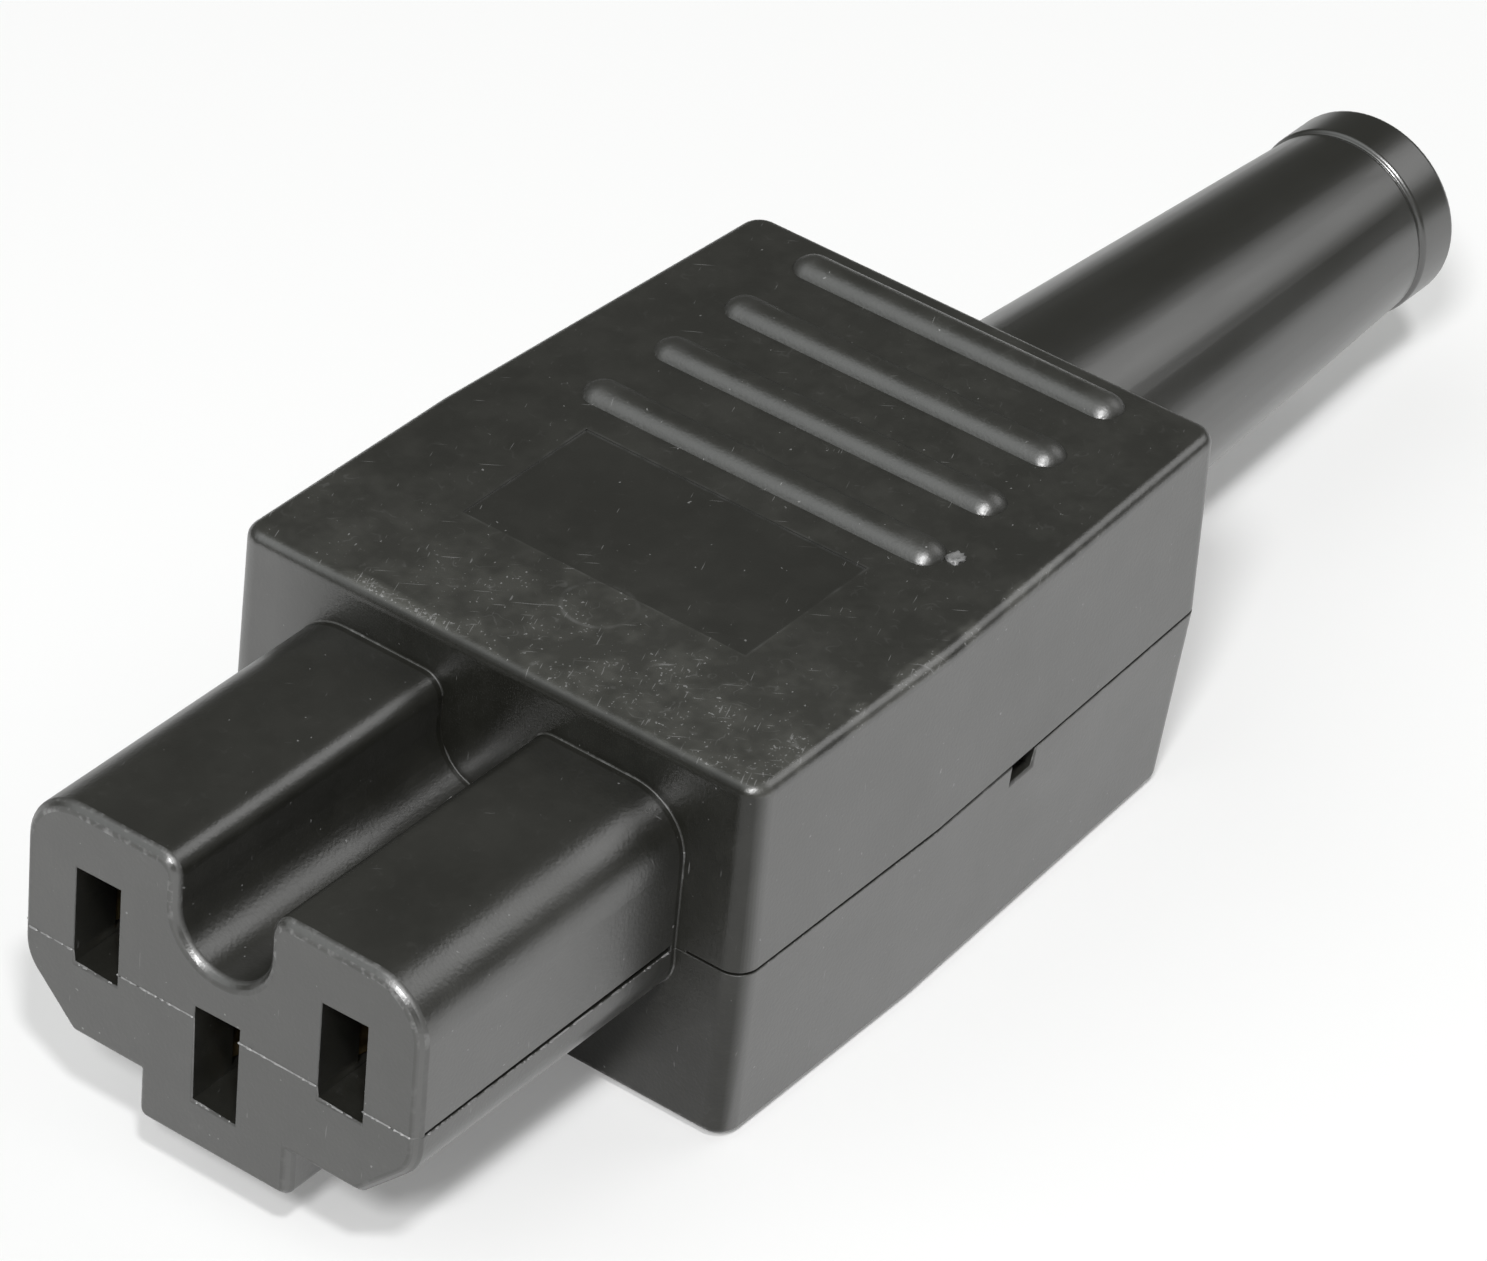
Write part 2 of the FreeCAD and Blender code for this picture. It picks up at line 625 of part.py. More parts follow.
def clamp_posts(body):
    """Two square posts for the cord clamp, with a hollowed saddle between them under the cord."""
    saddle = new_sketch(body, "saddle", "XY_Plane", f"{SPLIT} - Sizes.saddle_drop")
    rectangle(saddle, f"{CLAMP_X} - Sizes.saddle_width / 2", f"{CLAMP_X} + Sizes.saddle_width / 2",
              "-Sizes.clamp_screw_spread", "Sizes.clamp_screw_spread")
    pad(body, saddle, f"{SPLIT} - Sizes.saddle_drop - {FLOOR} + {OVERLAP}", True)
    way = new_sketch(body, "cord_way", "YZ_Plane", f"{CLAMP_X} + Sizes.saddle_width / 2 + {OVERLAP}")
    circle(way, "0", SPLIT, "Sizes.cord_bore")
    pocket(body, way, f"Sizes.saddle_width + 2 * {OVERLAP}")
    posts = new_sketch(body, "posts", "XY_Plane", POST_TOP)
    holes = new_sketch(body, "post_holes", "XY_Plane", POST_TOP)
    half = "Sizes.post_width / 2"
    for name, side in SIDES:
        across = f"{side} * Sizes.clamp_screw_spread"
        rectangle(posts, f"{CLAMP_X} - {half}", f"{CLAMP_X} + {half}",
                  f"{across} - {half}", f"{across} + {half}")
        circle(holes, CLAMP_X, across, "Sizes.screw_diameter + 2 * Sizes.thread_clearance")
    pad(body, posts, f"{POST_TOP} - {FLOOR} + {OVERLAP}", True)
    pocket(body, holes, "Sizes.clamp_screw_grip + Sizes.hole_overrun")


def cord_sleeve():
    """The soft sleeve: a square flange between the shells, which keeps it from turning, a neck, a long
    cone and a raised end band."""
    body = new_body("cord_sleeve")
    profile = new_sketch(body, "profile", "XZ_Plane", up=SPLIT)
    bore, root = "(Sizes.cord_bore / 2)", "(Sizes.sleeve_root / 2)"
    tip, end = "(Sizes.sleeve_tip / 2)", f"({REAR} + Sizes.sleeve_length)"
    band = f"({end} - Sizes.band_length)"
    band_radius, groove = f"({tip} + Sizes.band_rise)", f"({tip} - Sizes.band_rise)"
    outline(profile, [
        (FLANGE_FRONT, bore),
        (end, bore),
        (end, band_radius),
        (f"{band} + Sizes.band_groove", band_radius),
        (f"{band} + Sizes.band_groove / 2", groove),
        (band, tip),
        (REAR, root),
        (FLANGE_FRONT, root),
    ])
    turn(body, profile, "H_Axis")
    flange, half = new_sketch(body, "flange", "YZ_Plane", FLANGE_FRONT, up=SPLIT), "(Sizes.flange_size / 2)"
    rectangle(flange, f"-{half}", half, f"-{half}", half)
    circle(flange, "0", "0", "Sizes.cord_bore")
    pad(body, flange, "Sizes.flange_thickness")
    place, radius = value(end), value(band_radius)
    soften_edges(body, "end", lambda edge: lies_at(edge, "x", place)
                and abs(edge.Curve.Radius - radius) < NEAR, "Sizes.band_bevel", "Chamfer")
    return body


def set_place(body, x, y, z):
    for axis, place in (("x", x), ("y", y), ("z", z)):
        if place != "0":
            body.setExpression(f"Placement.Base.{axis}", place)


def contact(name, across, rise):
    """A strip folded into a hairpin: flared mouth, gripping waist, straight legs and a web at the back."""
    body = new_body(f"{name}_contact")
    plan = new_sketch(body, "plan", "XY_Plane", "-Sizes.contact_height / 2")
    strip = "Sizes.strip_thickness"
    stations = (
        ("0", "(Sizes.mouth_gap / 2)"),
        ("Sizes.grip_place", "(Sizes.grip_gap / 2)"),
        ("Sizes.leaf_length", "(Sizes.root_gap / 2)"),
    )
    web = ((f"{CONTACT_LENGTH} - {strip}", "(Sizes.root_gap / 2)"),)
    back = ((CONTACT_LENGTH, f"(Sizes.root_gap / 2 + {strip})"),)
    outer = tuple((place, f"({gap} + {strip})") for place, gap in stations) + back
    inner = stations + web
    outline(plan, [(x, f"-{y}") for x, y in outer] + list(outer[::-1])
            + list(inner) + [(x, f"-{y}") for x, y in inner[::-1]])
    pad(body, plan, "Sizes.contact_height")
    grip, rear = value("Sizes.grip_place"), value(CONTACT_LENGTH)
    soften_edges(body, "bends", lambda edge: runs_along(edge, "z")
                and min(abs(middle(edge).x - grip), abs(middle(edge).x - rear)) < NEAR, "Sizes.bend_radius")
    hole = new_sketch(body, "tenon_hole", "YZ_Plane", f"{CONTACT_LENGTH} + {OVERLAP}")
    half = "(Sizes.tenon_size / 2 + Sizes.tenon_clearance)"
    rectangle(hole, f"-{half}", half, f"-{half}", half)
    pocket(body, hole, f"{strip} + 2 * {OVERLAP}")
    set_place(body, CONTACT_MOUTH, across, f"{SPLIT} + {rise}")
    return body


def terminal(name, across, rise):
    """A brass pillar with a blind wire bore from behind, a tapped hole from above and, in front, the
    square tenon that holds the contact's web."""
    body = new_body(f"{name}_terminal")
    half_width, half_height = "(Sizes.terminal_width / 2)", "(Sizes.terminal_height / 2)"
    section = new_sketch(body, "section", "YZ_Plane")
    rectangle(section, f"-{half_width}", half_width, f"-{half_height}", half_height)
    pad(body, section, "Sizes.terminal_length")
    soften_edges(body, "edges", lambda edge: runs_along(edge, "x"), "Sizes.terminal_bevel", "Chamfer")
    tenon, half = new_sketch(body, "tenon", "YZ_Plane"), "Sizes.tenon_size / 2"
    rectangle(tenon, f"-{half}", half, f"-{half}", half)
    pad(body, tenon, "Sizes.strip_thickness + Sizes.tenon_stand", True)
    bore = new_sketch(body, "wire_bore", "YZ_Plane", "Sizes.terminal_length")
    circle(bore, "0", "0", "Sizes.wire_bore")
    pocket(body, bore, "Sizes.wire_depth")
    tapped = new_sketch(body, "tapped_hole", "XY_Plane", half_height)
    circle(tapped, "Sizes.terminal_screw_place", "0", "Sizes.screw_diameter + 2 * Sizes.thread_clearance")
    pocket(body, tapped, half_height)
    set_place(body, TERMINAL_FRONT, across, f"{SPLIT} + {rise}")
    return body


def driver_slot(body, reach, top):
    """The slot across the upper end of a screw."""
    slot = new_sketch(body, "slot", "XY_Plane", top)
    rectangle(slot, f"-{reach}", reach, "-Sizes.driver_slot_width / 2", "Sizes.driver_slot_width / 2")
    pocket(body, slot, "Sizes.driver_slot_depth")


def headed_screw(name, shank):
    """A slotted screw that points down, with its head's seat at its own origin."""
    body = new_body(name)
    profile = new_sketch(body, "profile", "XZ_Plane")
    outline(profile, [
        ("0", f"-{shank}"),
        ("Sizes.screw_diameter / 2", f"-{shank}"),
        ("Sizes.screw_diameter / 2", "0"),
        ("Sizes.screw_head / 2", "0"),
        ("Sizes.screw_head / 2", "Sizes.screw_head_height"),
        ("0", "Sizes.screw_head_height"),
    ])
    turn(body, profile, "V_Axis")
    driver_slot(body, "Sizes.screw_head", "Sizes.screw_head_height")
    return body


def grub_screw(name, length):
    """A headless slotted screw that points down from its own origin."""
    body = new_body(name)
    section = new_sketch(body, "section", "XY_Plane")
    circle(section, "0", "0", "Sizes.screw_diameter")
    pad(body, section, length, True)
    driver_slot(body, "Sizes.screw_diameter", "0")
    return body


def group(name, members):
    compound = doc.addObject("Part::Compound", name)
    compound.Label = name
    compound.Links = members
    return compound


def terminal_screws():
    """One grub screw in each terminal, from its top face to the middle of its wire bore."""
    members = []
    for name, across, rise in POLES:
        body = grub_screw(f"{name}_terminal_screw", "Sizes.terminal_height / 2")
        set_place(body, f"{TERMINAL_FRONT} + Sizes.terminal_screw_place", across,
                  f"{SPLIT} + {rise} + Sizes.terminal_height / 2")
        members.append(body)
    return group("terminal_screws", members)


def cord_clamp():
    """An arched bar over the cord, with a screw ear on each side."""
    body = new_body("cord_clamp")
    profile = new_sketch(body, "profile", "YZ_Plane", f"{CLAMP_X} - Sizes.clamp_width / 2", up=SPLIT)
    reach = "(Sizes.clamp_screw_spread + Sizes.clamp_reach)"
    base, ear = "Sizes.post_rise", "(Sizes.post_rise + Sizes.clamp_ear)"
    arch = "Sizes.clamp_arch"
    crown = "(Sizes.clamp_arch + Sizes.clamp_arch_wall)"
    foot = f"sqrt({arch} ^ 2 - {base} ^ 2)"
    shoulder = f"sqrt({crown} ^ 2 - {ear} ^ 2)"
    outline(profile, [
        (f"-{reach}", base),
        (f"-{foot}", base, "0", "0", -1),
        (foot, base),
        (reach, base),
        (reach, ear),
        (shoulder, ear, "0", "0", 1),
        (f"-{shoulder}", ear),
        (f"-{reach}", ear),
    ])
    pad(body, profile, "Sizes.clamp_width")
    end = value(reach)
    soften_edges(body, "ends", lambda edge: runs_along(edge, "z") and abs(abs(middle(edge).y) - end) < NEAR,
                "Sizes.clamp_corner", "Chamfer")
    holes = new_sketch(body, "holes", "XY_Plane", f"{SPLIT} + {ear}")
    for name, side in SIDES:
        circle(holes, CLAMP_X, f"{side} * Sizes.clamp_screw_spread", "Sizes.screw_passage")
    pocket(body, holes, "Sizes.clamp_ear")
    return body


def clamp_screws():
    members = []
    for name, side in SIDES:
        body = headed_screw(f"{name}_clamp_screw", "(Sizes.clamp_ear + Sizes.clamp_screw_grip)")
        set_place(body, CLAMP_X, f"{side} * Sizes.clamp_screw_spread", f"{POST_TOP} + Sizes.clamp_ear")
        members.append(body)
    return group("clamp_screws", members)


def housing_screws():
    """The two screws that close the shells, entered from the underside."""
    members = []
    for name, side in SIDES:
        body = headed_screw(f"{name}_housing_screw", f"({SCREW_TIP} - Sizes.head_recess_depth)")
        body.Placement = FreeCAD.Placement(FreeCAD.Vector(), FreeCAD.Rotation(FreeCAD.Vector(1, 0, 0), 180))
        set_place(body, HOUSING_SCREW_X, f"{side} * {HOUSING_SCREW_Y}", "Sizes.head_recess_depth")
        members.append(body)
    return group("housing_screws", members)


def housing_nuts():
    """The square nuts, each slid into the slot of its boss."""
    members = []
    half = "(Sizes.nut_size / 2)"
    for name, side in SIDES:
        body = new_body(f"{name}_housing_nut")
        plan = new_sketch(body, "plan", "XY_Plane")
        rectangle(plan, f"-{half}", half, f"-{half}", half)
        circle(plan, "0", "0", "Sizes.screw_diameter + 2 * Sizes.thread_clearance")
        pad(body, plan, "Sizes.nut_thickness")
        set_place(body, HOUSING_SCREW_X, f"{side} * {HOUSING_SCREW_Y}", NUT_SEAT)
        members.append(body)
    return group("housing_nuts", members)


nodes = [upper_shell(), lower_shell(), cord_sleeve()]
for pole in POLES:
    nodes.append(contact(*pole))
    nodes.append(terminal(*pole))
nodes += [terminal_screws(), cord_clamp(), clamp_screws(), housing_screws(), housing_nuts()]
doc.recompute()

for item in doc.Objects:
    if "Invalid" in item.State or "Error" in item.State:
        raise RuntimeError(f"{item.Name} failed: {item.State}")
for node in nodes:
    if node.Shape.isNull() or not node.Shape.isValid():
        raise RuntimeError(f"{node.Label} has no valid shape")

os.makedirs("parts", exist_ok=True)
for node in nodes:
    node.Shape.exportStep(f"parts/{node.Label}.step")
    print(f"{node.Label}: {len(node.Shape.Solids)} solids, {node.Shape.Volume:.1f} mm3")
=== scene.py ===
"""Looks of the rewirable appliance connector: satin black shells with rounded edges, an open
parting line, moulding flash and handling marks, a smooth soft sleeve, and brass and zinc
fittings. Lengths are in metres."""
import json
import math
import random
from collections import namedtuple

import bmesh
import bpy
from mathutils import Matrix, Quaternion, Vector
from mathutils.bvhtree import BVHTree


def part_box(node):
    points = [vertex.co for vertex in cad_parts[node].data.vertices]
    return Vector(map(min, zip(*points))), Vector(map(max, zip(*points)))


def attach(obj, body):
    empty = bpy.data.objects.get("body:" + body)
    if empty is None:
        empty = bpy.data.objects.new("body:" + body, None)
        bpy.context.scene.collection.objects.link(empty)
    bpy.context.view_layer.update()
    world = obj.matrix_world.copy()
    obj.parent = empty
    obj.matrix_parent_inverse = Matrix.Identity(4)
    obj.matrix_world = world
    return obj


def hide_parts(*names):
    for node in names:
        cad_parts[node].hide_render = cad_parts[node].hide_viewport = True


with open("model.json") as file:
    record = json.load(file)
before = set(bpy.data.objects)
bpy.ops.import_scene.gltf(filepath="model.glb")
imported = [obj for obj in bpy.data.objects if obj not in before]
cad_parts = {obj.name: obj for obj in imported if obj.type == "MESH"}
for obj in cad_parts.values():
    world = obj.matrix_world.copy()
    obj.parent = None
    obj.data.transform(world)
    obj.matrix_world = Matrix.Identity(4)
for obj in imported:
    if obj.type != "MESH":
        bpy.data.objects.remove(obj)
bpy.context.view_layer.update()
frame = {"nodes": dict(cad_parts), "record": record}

MM = 0.001

# Camera, at the photograph's viewing angle
CAMERA_AIM = Vector((-0.0077788, -0.0057282, 0.0190366))
CAMERA_AZIMUTH = math.radians(-56.192)
CAMERA_ELEVATION = math.radians(35.709)
CAMERA_ROLL = math.radians(5.490)
CAMERA_DISTANCE = 0.333
CAMERA_LENS = 177.494  # for the usual 36 mm sensor
CAMERA_NEAR = 0.01

# Floor and room light
FLOOR_HALF = 3.0
FLOOR_PALER = 0.2
ROOM_DIM = (0.114, 0.115, 0.106, 1.0)
ROOM_BRIGHT = (0.99, 1.02, 1.01, 1.0)
BRIGHT_FROM = Vector((-0.48, 0.45, 0.75))
BRIGHT_EDGE = (0.80, 0.96)  # cosines between which the bright patch fades in

# Places read from the frame
SHELL_LOW, SHELL_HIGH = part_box("upper_shell")
NOSE_FACE = SHELL_LOW.x
REAR = SHELL_HIGH.x
HALF_WIDTH = SHELL_HIGH.y
SHOULDER = -REAR
MOUNTS = {mount["name"]: mount for mount in frame["record"]["mounts"]}
SPLIT = MOUNTS["nose"]["pos_m"][2]
TOP = 2 * SPLIT
NOSE_HALF = max(vertex.co.y for vertex in frame["nodes"]["upper_shell"].data.vertices
                if vertex.co.x < SHOULDER - MM)

# Places that follow the solids
KINK = SHOULDER + 15 * MM               # where the sides start to taper
REAR_HALF = HALF_WIDTH - 1.15 * MM
SLEEVE_HALF = 7.6 * MM                  # where the parting line ends beside the sleeve
SLOT_EDGES = (8.275 * MM, 5.725 * MM, 1.275 * MM)  # where the slots cut the parting line
SIDE_SILL = SPLIT - 0.65 * MM           # lower ends of the line and neutral slots
EARTH_SILL = SPLIT - 4.65 * MM
NOTCH_HALF = 3.9 * MM
NOTCH_FLOOR = SPLIT + 2.7 * MM
PANEL_MIDDLE = SHOULDER + 12.725 * MM
PANEL_HALVES = (4.625 * MM, 8.15 * MM)
TOP_MARGIN = 4 * MM                     # the ribs and the panel stay further than this from the sides
RIB_ENDS = (7.5 * MM, 8.5 * MM)         # where the ribs grow rougher towards their ends

# Wear on the top
RING_CENTRE = (-12.5 * MM, -0.95 * MM)
RING_RADIUS = 1.75 * MM
FAINT_WIDTH = 0.15 * MM
GATE_PLACE = Vector((1.65 * MM, -10.7 * MM, TOP))
GATE_HALVES = (0.52, 0.40, 0.18)        # in millimetres
GATE_RAGGED = 0.28
GATE_HOLLOW = 0.45
GATE_BOWL = 0.25                        # square of the hollow's share of the width

# Widths of the rounded edges
EDGE_ROUND = 0.14 * MM
SPLIT_ROUND = 0.04 * MM
SLOT_ROUND = 0.05 * MM
NOSE_ROOT = 0.07 * MM
METAL_ROUND = 0.12 * MM
ROUND_STEPS = 3
SHARP_ANGLE = math.radians(28)
FLAT_ANGLE = math.radians(0.4)
WELD = 0.02 * MM
NEAR = 0.02 * MM

# Open parting line: how high it stands along the nose, from face to root, and round the body
NOSE_GAP = (0.17 * MM, 0.30 * MM)
BODY_GAP = 0.15 * MM
GAP_DEPTH = 0.5 * MM
GAP_MARGIN = 0.7 * MM
GAP_ENDS = (NOSE_FACE + 0.55 * MM, SHOULDER - 0.3 * MM)
GAP_START = NOSE_HALF + 0.6 * MM

# Moulding flash: how far it reaches, how thick it is, and how much of its line it covers
FACE_FLASH = (0.09 * MM, 0.15 * MM, 0.90)
SILL_FLASH = (0.06 * MM, 0.10 * MM, 0.5)
NOSE_FLASH = (0.11 * MM, 0.08 * MM, 0.66)
BODY_FLASH = (0.05 * MM, 0.05 * MM, 0.10)
FACE_STOP = NOSE_HALF - 0.3 * MM
SILL_INSET = 0.2 * MM
NOSE_STOPS = (NOSE_FACE + 0.4 * MM, SHOULDER - 0.4 * MM)
BODY_STOPS = (SHOULDER + 1.6 * MM, KINK)
FIN_PACE = 0.13 * MM
FIN_LEAST = 0.25                        # the lowest fin, as a share of the reach
FIN_TIP = 0.6                           # length of a fin's tip, as a share of the pace

# Colours and gloss of the plastics
SHELL_BLACK = ((0.0058, 0.0058, 0.0040, 1.0), (0.0084, 0.0083, 0.0060, 1.0))
SLEEVE_BLACK = ((0.008, 0.008, 0.006, 1.0), (0.012, 0.012, 0.010, 1.0))
SCUFFED = (0.085, 0.085, 0.076, 1.0)
RUBBED_GREY = 0.26
MARK_GREY = 0.28
DUST_GREY = 0.22
GLOSSY_INDEX = 2.2
DULL_INDEX = 1.3

chance = random.Random(15)
Spot = namedtuple("Spot", "place along across height facing")


def new_object(name, mesh):
    piece = bpy.data.objects.new(name, mesh)
    bpy.context.scene.collection.objects.link(piece)
    return piece


def finished_mesh(name, work):
    """A mesh of what has been modelled, which is then let go."""
    mesh = bpy.data.meshes.new(name)
    work.to_mesh(mesh)
    work.free()
    return mesh


# Shader helpers
def feed(tree, socket, setting):
    """Link a socket to another, or give it a constant."""
    if isinstance(setting, bpy.types.NodeSocket):
        tree.links.new(setting, socket)
    else:
        socket.default_value = setting


def shade(tree, kind, **settings):
    """A shader node with some of its inputs set."""
    made = tree.nodes.new("ShaderNode" + kind)
    for name, setting in settings.items():
        feed(tree, made.inputs[name.replace("_", " ")], setting)
    return made


def calc(tree, operation, *values):
    made = tree.nodes.new("ShaderNodeMath")
    made.operation = operation
    for socket, setting in zip(made.inputs, values):
        feed(tree, socket, setting)
    return made.outputs[0]


def product(tree, *values):
    result = values[0]
    for factor in values[1:]:
        result = calc(tree, "MULTIPLY", result, factor)
    return result


def largest(tree, *values):
    result = values[0]
    for other in values[1:]:
        result = calc(tree, "MAXIMUM", result, other)
    return result


def ramp(tree, source, low, high, to_low=0.0, to_high=1.0):
    """A clamped straight change from to_low to to_high as the source goes from low to high."""
    made = shade(tree, "MapRange", Value=source, From_Min=low, From_Max=high, To_Min=to_low, To_Max=to_high)
    return made.outputs["Result"]


def tint(tree, share, first, second):
    """A colour between two others."""
    made = tree.nodes.new("ShaderNodeMix")
    made.data_type = "RGBA"
    sockets = {socket.identifier: socket for socket in made.inputs}
    feed(tree, sockets["Factor_Float"], share)
    feed(tree, sockets["A_Color"], first)
    feed(tree, sockets["B_Color"], second)
    return next(socket for socket in made.outputs if socket.identifier == "Result_Color")


def grey(level):
    return (level, level, level, 1.0)


def new_material(name):
    material = bpy.data.materials.new(name)
    material.use_nodes = True
    tree = material.node_tree
    return material, tree, tree.nodes["Principled BSDF"]


def noise(tree, place, scale=1.0, detail=0.0, roughness=0.5):
    made = shade(tree, "TexNoise", Vector=place, Scale=scale, Detail=detail, Roughness=roughness)
    return made.outputs["Fac"]


def drawn_out(tree, place, lengths, angle=0.0):
    """A place measured in lengths along axes turned by an angle, so that a noise there is drawn out."""
    made = shade(tree, "Mapping", Vector=place, Rotation=(0.0, 0.0, angle), Scale=lengths)
    made.vector_type = "TEXTURE"
    return made.outputs["Vector"]


def peaks(tree, pattern, density, level, gain, soft=0.05):
    """The parts of a noise above a level that sinks where marks lie more densely."""
    height = calc(tree, "ADD", pattern, product(tree, density, gain))
    return ramp(tree, height, level, level + soft)


def level_distance(tree, spot, centre):
    """How far a place is from an upright line through a point."""
    squares = [calc(tree, "POWER", calc(tree, "SUBTRACT", place, middle), 2.0)
               for place, middle in zip((spot.along, spot.across), centre)]
    return calc(tree, "SQRT", calc(tree, "ADD", *squares))


def thin_line(tree, distance, width):
    """A soft line where a signed distance is nought."""
    return ramp(tree, calc(tree, "ABSOLUTE", distance), width * 0.3, width, 1.0, 0.0)


def add_grain(tree, shader, strength, distance, height):
    bump = shade(tree, "Bump", Strength=strength, Distance=distance, Height=height)
    tree.links.new(bump.outputs["Normal"], shader.inputs["Normal"])


# The shells' plastic
def spot_on(tree):
    """Where a point of the surface lies, and the parts of the direction that it faces."""
    place = shade(tree, "TexCoord").outputs["Object"]
    along, across, height = shade(tree, "SeparateXYZ", Vector=place).outputs
    normal = shade(tree, "NewGeometry").outputs["Normal"]
    return Spot(place, along, across, height, shade(tree, "SeparateXYZ", Vector=normal).outputs)


def level_top(tree, spot):
    """Where the surface is the level top of the body."""
    return product(tree, ramp(tree, spot.facing["Z"], 0.70, 0.95),
                   ramp(tree, spot.height, TOP - 0.2 * MM, TOP - 0.15 * MM))


def panel_distance(tree, spot):
    """How far a point is outside the inset panel, seen from above."""
    lengthwise = calc(tree, "ABSOLUTE", calc(tree, "SUBTRACT", spot.along, PANEL_MIDDLE))
    beside = calc(tree, "SUBTRACT", lengthwise, PANEL_HALVES[0])
    beyond = calc(tree, "SUBTRACT", calc(tree, "ABSOLUTE", spot.across), PANEL_HALVES[1])
    return largest(tree, beside, beyond)


def mark_density(tree, spot, on_top, off_panel):
    """How densely marks lie: most at the front of the top and on two of its rims, and thinly on the
    panel."""
    patches = ramp(tree, noise(tree, spot.place, scale=520.0, detail=2.0, roughness=0.65), 0.40, 0.64)
    front = product(tree, ramp(tree, spot.along, SHOULDER + 4 * MM, SHOULDER + 12 * MM, 1.0, 0.22),
                    ramp(tree, spot.across, -1 * MM, 9 * MM, 1.0, 0.45))
    in_panel = product(tree, on_top, ramp(tree, off_panel, -0.05 * MM, 0.0, 1.0, 0.0))
    spread = product(tree, ramp(tree, product(tree, on_top, front), 0.0, 1.0, 0.14, 1.0),
                     ramp(tree, in_panel, 0.0, 1.0, 1.0, 0.35), ramp(tree, patches, 0.0, 1.0, 0.45, 1.0))
    front_rim = product(tree, on_top,
                        ramp(tree, spot.along, SHOULDER + 0.9 * MM, SHOULDER + 1.5 * MM, 1.0, 0.0),
                        ramp(tree, spot.across, 1.5 * MM, 3.5 * MM),
                        ramp(tree, spot.across, 8 * MM, 10 * MM, 1.0, 0.0))
    side_rim = product(tree, ramp(tree, spot.across, 1.4 * MM - HALF_WIDTH, 0.9 * MM - HALF_WIDTH),
                       ramp(tree, spot.height, TOP - 0.6 * MM, TOP - 0.4 * MM), patches)
    return largest(tree, spread, product(tree, front_rim, 1.25), product(tree, side_rim, 0.9))


def all_marks(tree, spot, on_top, off_panel, spread, marked):
    """Specks and dust, and more weakly scuffs, hairs, scratches, a faint ring, and a faint pale line round
    the panel that is a painted highlight of its edge.
    """
    place = spot.place
    dots = peaks(tree, noise(tree, place, scale=5600.0, detail=1.0), spread, level=0.83, gain=0.20)
    dust = product(tree, ramp(tree, noise(tree, place, scale=3300.0, detail=1.0), 0.775, 0.81), marked)
    bits = peaks(tree, noise(tree, place, scale=2300.0, detail=3.0, roughness=0.7), spread,
                 level=0.80, gain=0.19, soft=0.12)
    winding = calc(tree, "SUBTRACT", noise(tree, place, scale=900.0, detail=1.0), 0.5)
    shown = ramp(tree, noise(tree, place, scale=1300.0, detail=1.0), 0.54, 0.64)
    hairs = product(tree, thin_line(tree, winding, 0.022), shown, spread, 0.45)
    streaked = drawn_out(tree, place, (1.5 * MM, 0.10 * MM, 1.0 * MM), angle=-0.93)
    streaks = peaks(tree, noise(tree, streaked), spread, level=0.88, gain=0.13)
    stroked = drawn_out(tree, place, (0.9 * MM, 0.09 * MM, 1.0 * MM), angle=0.35)
    strokes = peaks(tree, noise(tree, stroked), spread, level=0.88, gain=0.13)
    off_ring = calc(tree, "SUBTRACT", level_distance(tree, spot, RING_CENTRE), RING_RADIUS)
    ring = thin_line(tree, off_ring, FAINT_WIDTH)
    # Painted highlight: a faint pale line along the panel's edge.
    panel_edge_highlight = product(tree, thin_line(tree, off_panel, FAINT_WIDTH), 0.45)
    broken = ramp(tree, noise(tree, place, scale=700.0, detail=2.0), 0.44, 0.64, 0.04, 0.45)
    faint = product(tree, largest(tree, ring, panel_edge_highlight), on_top, broken, marked)
    weaker = [product(tree, mark, 0.7) for mark in (bits, hairs, streaks, strokes, faint)]
    return largest(tree, dots, dust, *weaker)


def edge_wear(tree, spot):
    """Where edges are rubbed pale: on the nose, most at its face and above, and on the body below
    its top."""
    rubs = noise(tree, spot.place, scale=1900.0, detail=2.0, roughness=0.6)
    bare = ramp(tree, rubs, 0.50, 0.70, 0.06, 1.0)
    on_nose = product(tree, ramp(tree, spot.along, SHOULDER - 0.35 * MM, SHOULDER - 0.30 * MM, 1.0, 0.0),
                      ramp(tree, spot.along, NOSE_FACE + 0.1 * MM, NOSE_FACE + 0.3 * MM, 1.6, 1.0),
                      ramp(tree, spot.height, SPLIT + 4.5 * MM, SPLIT + 5.5 * MM, 0.2, 1.0))
    on_body = product(tree, ramp(tree, spot.along, SHOULDER, SHOULDER + 0.05 * MM),
                      ramp(tree, spot.height, TOP - 0.15 * MM, TOP - 0.1 * MM, 1.0, 0.0))
    return product(tree, bare, largest(tree, on_nose, on_body))


def painted_reflection_shade(tree, spot):
    """Painted shade in the reflections, which it dims: on the front wall beside and above the nose, at the
    nose's root and, a little, on its face."""
    wall = product(tree, ramp(tree, spot.facing["X"], -0.75, -0.25, 1.0, 0.0),
                   ramp(tree, spot.along, SHOULDER - 0.05 * MM, SHOULDER),
                   ramp(tree, spot.along, SHOULDER + MM, SHOULDER + 1.3 * MM, 1.0, 0.0),
                   ramp(tree, spot.across, 5 * MM, 12.5 * MM, 0.72, 0.0))
    root = product(tree, ramp(tree, spot.along, SHOULDER - 0.3 * MM, SHOULDER - 0.2 * MM),
                   ramp(tree, spot.along, SHOULDER, SHOULDER + 0.05 * MM, 0.6, 0.0))
    face = product(tree, ramp(tree, spot.facing["X"], -0.95, -0.85, 1.0, 0.0),
                   ramp(tree, spot.along, NOSE_FACE + 0.02 * MM, NOSE_FACE + 0.1 * MM, 1.0, 0.0),
                   ramp(tree, spot.across, -10 * MM, 10 * MM, 0.20, 0.10))
    return largest(tree, root, wall, face)


